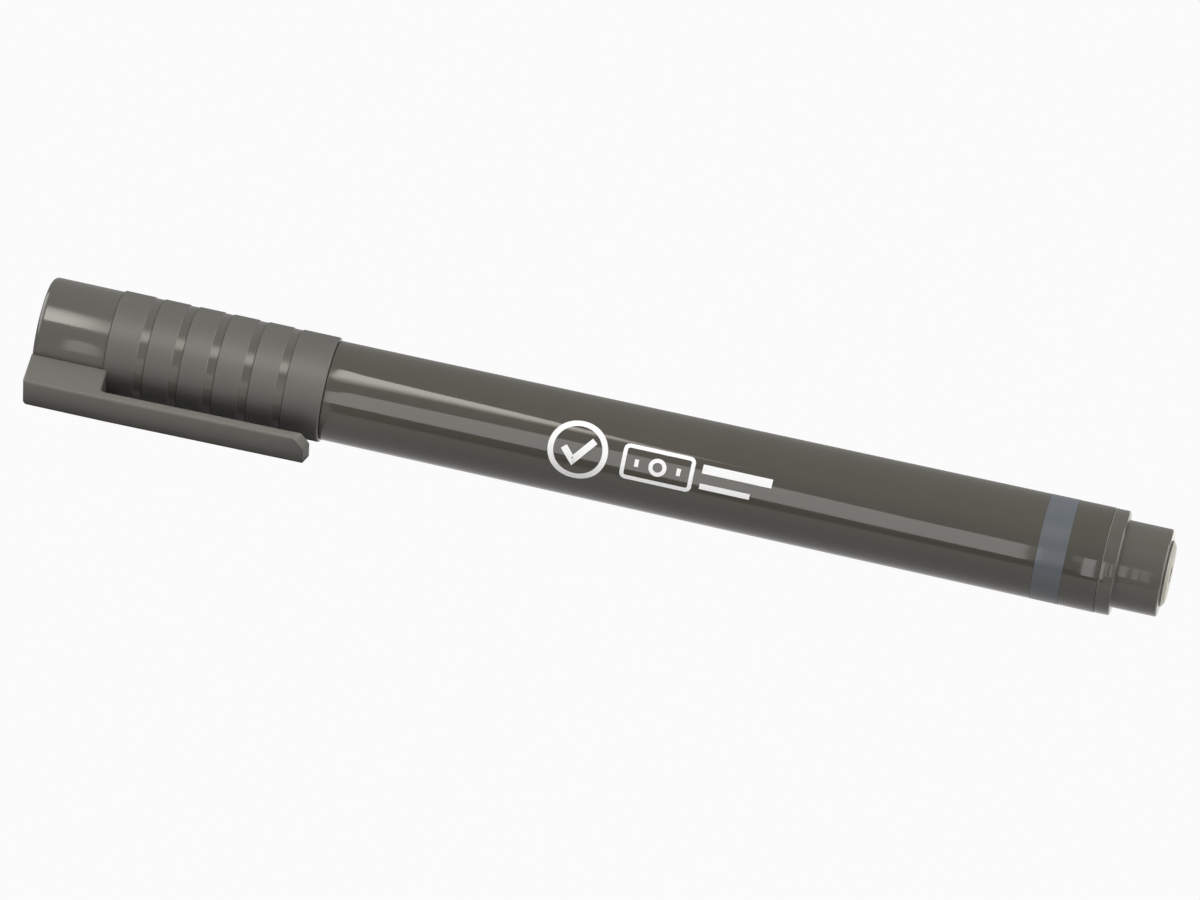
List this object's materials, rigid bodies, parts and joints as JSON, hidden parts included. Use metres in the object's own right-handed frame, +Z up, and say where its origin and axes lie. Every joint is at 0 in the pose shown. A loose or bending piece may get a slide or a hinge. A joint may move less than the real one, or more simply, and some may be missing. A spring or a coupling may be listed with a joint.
{
  "type": "counterfeit detector pen",
  "caption": "Capped felt-tip marker for testing banknotes, with a ringed push-on cap, a springy pocket clip and a stepped tail plug.",
  "frame": {"origin": "middle of the footprint, on the surface that the pen lies on", "axes": "+X along the pen from the closed end of the cap to the tail, +Z up with the pen lying on its side; the clip points to -Y and down, and its lower edge touches the surface"},
  "size_m": [0.1404, 0.0168, 0.013],
  "materials": {
    "barrel_plastic": "polished warm grey injection-moulded plastic",
    "cap_plastic": "warm grey plastic, finely textured on the rings and the clip, polished between the rings and at the closed end",
    "band_print": "satin blue-grey print",
    "mark_print": "white pad print",
    "liner_plastic": "natural polyethylene",
    "nib_fibre": "bonded fibre, stained by the ink",
    "reservoir_fibre": "soft polyester fibre bundle",
    "clear_film": "thin clear film"
  },
  "bodies": {
    "pen": {"barrel": "barrel_plastic", "front_section": "barrel_plastic", "nib": "nib_fibre", "ink_reservoir": "reservoir_fibre", "reservoir_wrap": "clear_film", "tail_plug": "barrel_plastic", "colour_band": "band_print"},
    "cap": {"cap_shell": "cap_plastic", "inner_cap": "liner_plastic"},
    "clip": {"pocket_clip": "cap_plastic"}
  },
  "joints": [
    {"name": "cap_pull", "type": "slide", "parent": "pen", "child": "cap", "axis": [-1, 0, 0], "range_m": [0, 0.045]},
    {"name": "clip_flex", "type": "hinge", "parent": "cap", "child": "clip", "pos_m": [-0.05965, -0.00749, 0.00204], "axis": [0, 0.4292, -0.9032], "range_deg": [0, 3.5], "stiffness_Nm_per_rad": 0.16}
  ]
}
